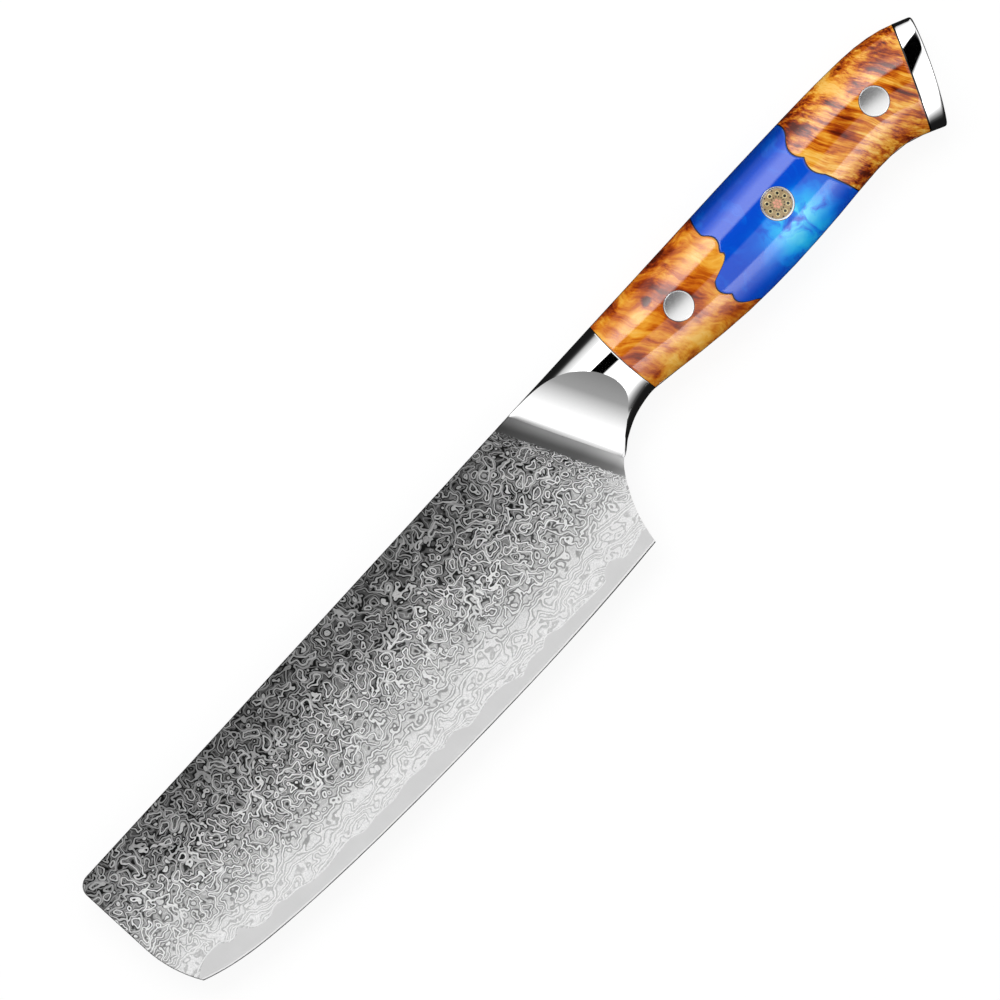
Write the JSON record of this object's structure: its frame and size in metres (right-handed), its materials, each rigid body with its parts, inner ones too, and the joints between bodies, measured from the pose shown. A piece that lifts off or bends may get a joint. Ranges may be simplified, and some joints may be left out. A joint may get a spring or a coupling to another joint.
{
  "type": "nakiri knife",
  "caption": "Western-handled vegetable knife: straight layered-steel blade, scooped polished bolster, burl and blue resin scales with pins, steel end cap.",
  "frame": {"origin": "centre of the knife's outline, at the lowest point of the handle, lying on its right side", "axes": "+X from the front of the blade to the butt, +Y from the cutting edge to the spine, +Z out of the left face"},
  "size_m": [0.3119, 0.0512, 0.019],
  "materials": {
    "core_steel": "satin, ground along the edge",
    "damascus_steel": "etched layered pattern, light and dark lines",
    "polished_steel": "mirror polished",
    "tang_steel": "satin",
    "burl_wood": "stabilised amber burl under a clear gloss",
    "blue_resin": "deep blue with a pearly swirl, polished",
    "rivet_steel": "polished with a fine grind",
    "pin_brass": "polished flush",
    "pin_copper": "copper, polished flush",
    "pin_epoxy": "brass-filled epoxy, polished flush",
    "dark_epoxy": "dark epoxy, polished flush"
  },
  "bodies": {
    "root": {"blade_core": "core_steel", "blade_cladding_left": "damascus_steel", "blade_cladding_right": "damascus_steel", "bolster": "polished_steel", "end_cap": "polished_steel", "tang": "tang_steel", "front_wood_left": "burl_wood", "front_wood_right": "burl_wood", "rear_wood_left": "burl_wood", "rear_wood_right": "burl_wood", "resin_left": "blue_resin", "resin_right": "blue_resin", "front_rivet_socket": "rivet_steel", "front_rivet_stud": "rivet_steel", "rear_rivet_socket": "rivet_steel", "rear_rivet_stud": "rivet_steel", "mosaic_tube": "rivet_steel", "mosaic_ring_tubes": "pin_brass", "mosaic_centre_rods": "pin_copper", "mosaic_filler": "pin_epoxy", "mosaic_ring_cores": "dark_epoxy"}
  },
  "joints": []
}
